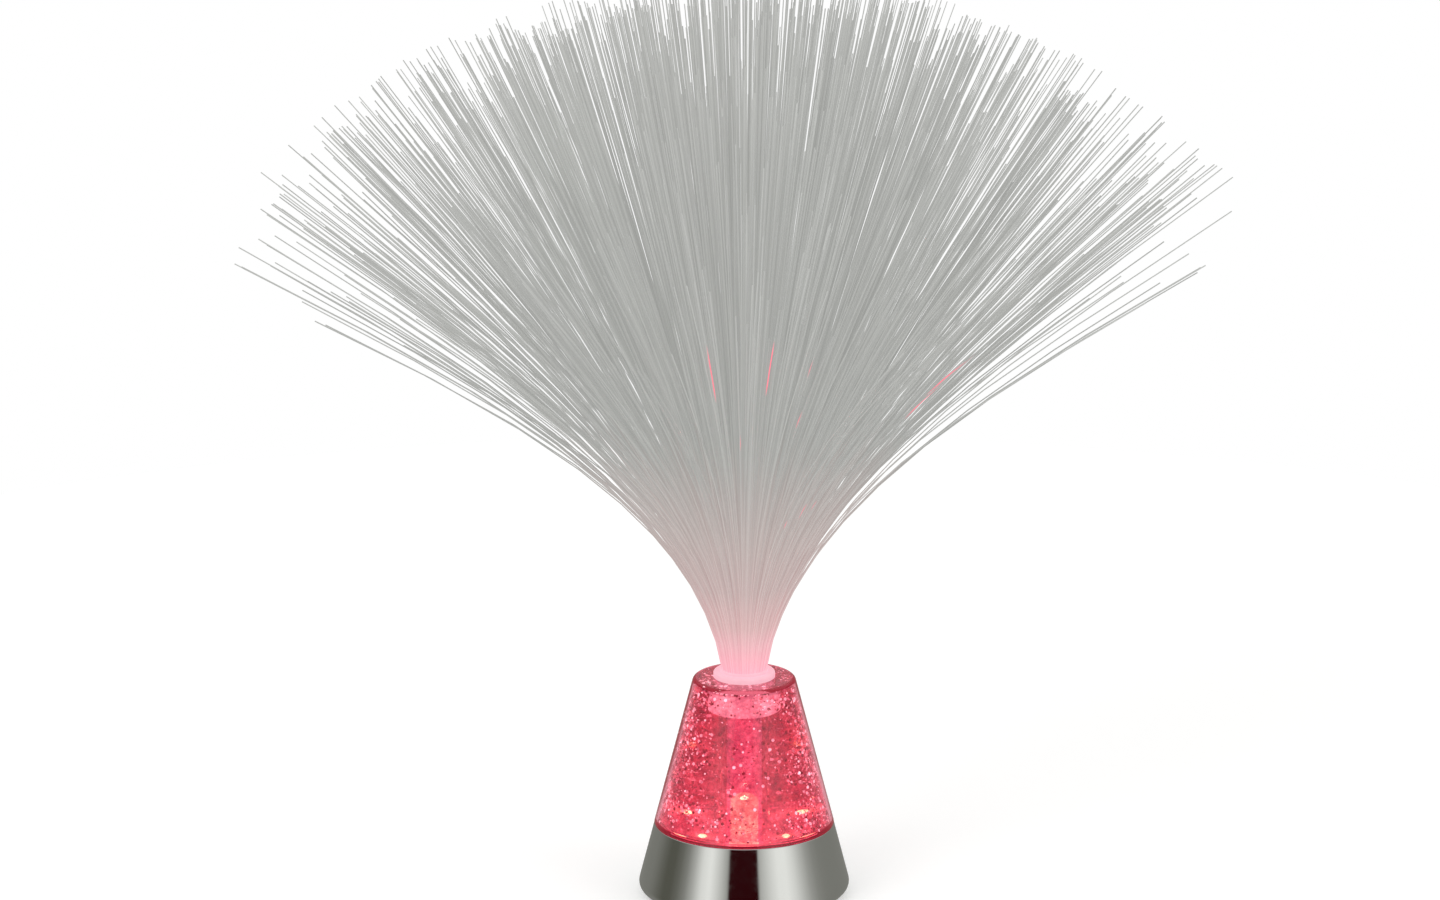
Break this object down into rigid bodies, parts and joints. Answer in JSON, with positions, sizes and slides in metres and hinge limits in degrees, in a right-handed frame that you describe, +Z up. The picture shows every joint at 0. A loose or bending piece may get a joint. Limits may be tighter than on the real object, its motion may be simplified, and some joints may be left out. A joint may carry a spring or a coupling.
{
  "type": "fibre optic table lamp",
  "caption": "Table lamp: a fountain of side-glowing optical fibres in the neck of a conical bottle of glitter liquid, lit from a battery base.",
  "frame": {"origin": "centre of the plane that the rubber feet stand on", "axes": "+Z up along the lamp's upright axis, -Y towards the front, +X to the right and towards the battery door's screw"},
  "size_m": [0.379, 0.3808, 0.3488],
  "materials": {
    "chromed_abs": "chrome plated plastic, mirror bright",
    "grey_abs": "fine spark-eroded moulding",
    "black_abs": "moulded",
    "black_rubber": "matt",
    "white_nylon": "milky, lit from inside",
    "zinc_steel": "zinc plated",
    "cell_jacket": "plain printed sleeve",
    "board_fibreglass": "white solder mask",
    "led_lens": "clear epoxy dome, lit",
    "chip_epoxy": "poured blob",
    "resistor_ceramic": "glazed",
    "clear_styrene": "clear, tinted by the light inside",
    "glitter_water": "clear water with silver flakes, lit red from below",
    "clear_acrylic_fibre": "clear strand, glowing at its tip",
    "red_lead": "sleeved wire",
    "black_lead": "sleeved wire"
  },
  "bodies": {
    "base": {"base_shell": "chromed_abs", "base_plate": "grey_abs", "base_screw_1": "zinc_steel", "base_screw_2": "zinc_steel", "base_screw_3": "zinc_steel", "base_screw_4": "zinc_steel", "rubber_foot_1": "black_rubber", "rubber_foot_2": "black_rubber", "rubber_foot_3": "black_rubber", "rubber_foot_4": "black_rubber", "switch_body": "black_abs", "cell_1": "cell_jacket", "cell_2": "cell_jacket", "cell_3": "cell_jacket", "cell_spring_1": "zinc_steel", "cell_spring_2": "zinc_steel", "cell_spring_3": "zinc_steel", "contact_positive": "zinc_steel", "contact_bridge_1": "zinc_steel", "contact_bridge_2": "zinc_steel", "contact_negative": "zinc_steel", "led_board": "board_fibreglass", "board_screw_1": "zinc_steel", "board_screw_2": "zinc_steel", "led_centre": "led_lens", "led_ring_1": "led_lens", "led_ring_2": "led_lens", "led_ring_3": "led_lens", "led_ring_4": "led_lens", "driver_chip": "chip_epoxy", "resistor_1": "resistor_ceramic", "resistor_2": "resistor_ceramic", "resistor_3": "resistor_ceramic", "wire_red": "red_lead", "wire_switch": "red_lead", "wire_black": "black_lead", "glitter_bottle": "clear_styrene", "bottle_floor": "clear_styrene", "filler_plug": "black_rubber", "glitter_liquid": "glitter_water", "light_tube": "clear_styrene", "light_guide": "clear_styrene", "fibre_collar": "white_nylon"},
    "battery_door": {"battery_door": "grey_abs"},
    "door_screw": {"door_screw": "zinc_steel"},
    "switch_knob": {"switch_knob": "black_abs"},
    "fibre_spray": {"fibre_ferrule": "white_nylon", "fibre_tuft_1": "clear_acrylic_fibre", "fibre_tuft_2": "clear_acrylic_fibre", "fibre_tuft_3": "clear_acrylic_fibre", "fibre_tuft_4": "clear_acrylic_fibre", "fibre_tuft_5": "clear_acrylic_fibre", "fibre_tuft_6": "clear_acrylic_fibre"}
  },
  "joints": [
    {"name": "door_hinge", "type": "hinge", "parent": "base", "child": "battery_door", "pos_m": [-0.02635, 0, 0.001], "axis": [0, 1, 0], "range_deg": [0, 50]},
    {"name": "door_screw_turn", "type": "hinge", "parent": "battery_door", "child": "door_screw", "pos_m": [0.029, 0, 0.001], "axis": [0, 0, 1], "continuous": true},
    {"name": "switch_slide", "type": "slide", "parent": "base", "child": "switch_knob", "axis": [1, 0, 0], "range_m": [-0.003, 0]},
    {"name": "spray_lift", "type": "slide", "parent": "base", "child": "fibre_spray", "axis": [0, 0, 1], "range_m": [0, 0.03]}
  ]
}
